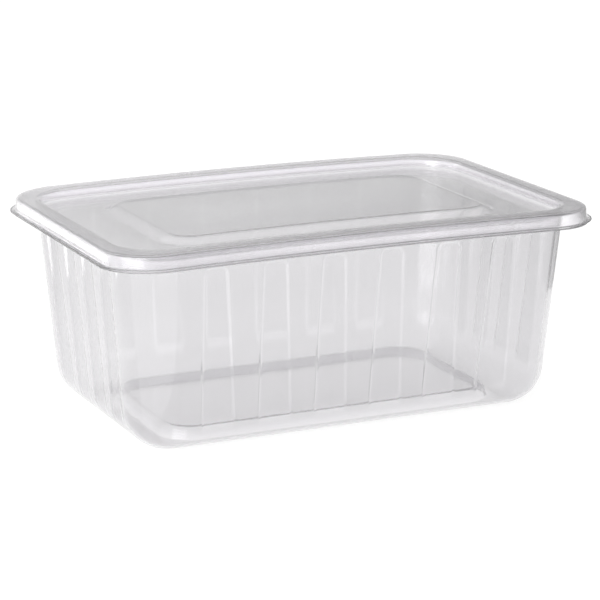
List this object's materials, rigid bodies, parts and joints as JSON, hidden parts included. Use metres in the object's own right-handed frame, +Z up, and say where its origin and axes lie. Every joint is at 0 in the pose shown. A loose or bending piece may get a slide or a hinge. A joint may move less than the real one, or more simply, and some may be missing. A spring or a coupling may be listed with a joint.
{
  "type": "plastic food container",
  "caption": "Clear rectangular food tub with fluted drafted walls and a pushed-up floor, closed by a push-on lid with a stacking plateau.",
  "frame": {"origin": "middle of the foot, on the plane that the container stands on", "axes": "+X along the long side, +Y along the short side, +Z up through the lid"},
  "size_m": [0.19, 0.126, 0.075],
  "materials": {
    "tub_plastic": "clear, glossy formed sheet",
    "lid_plastic": "clear, glossy formed sheet"
  },
  "bodies": {
    "tub": {"tub": "tub_plastic"},
    "lid": {"lid": "lid_plastic"}
  },
  "joints": [
    {"name": "lid_lift", "type": "slide", "parent": "tub", "child": "lid", "axis": [0, 0, 1], "range_m": [0, 0.08]}
  ]
}
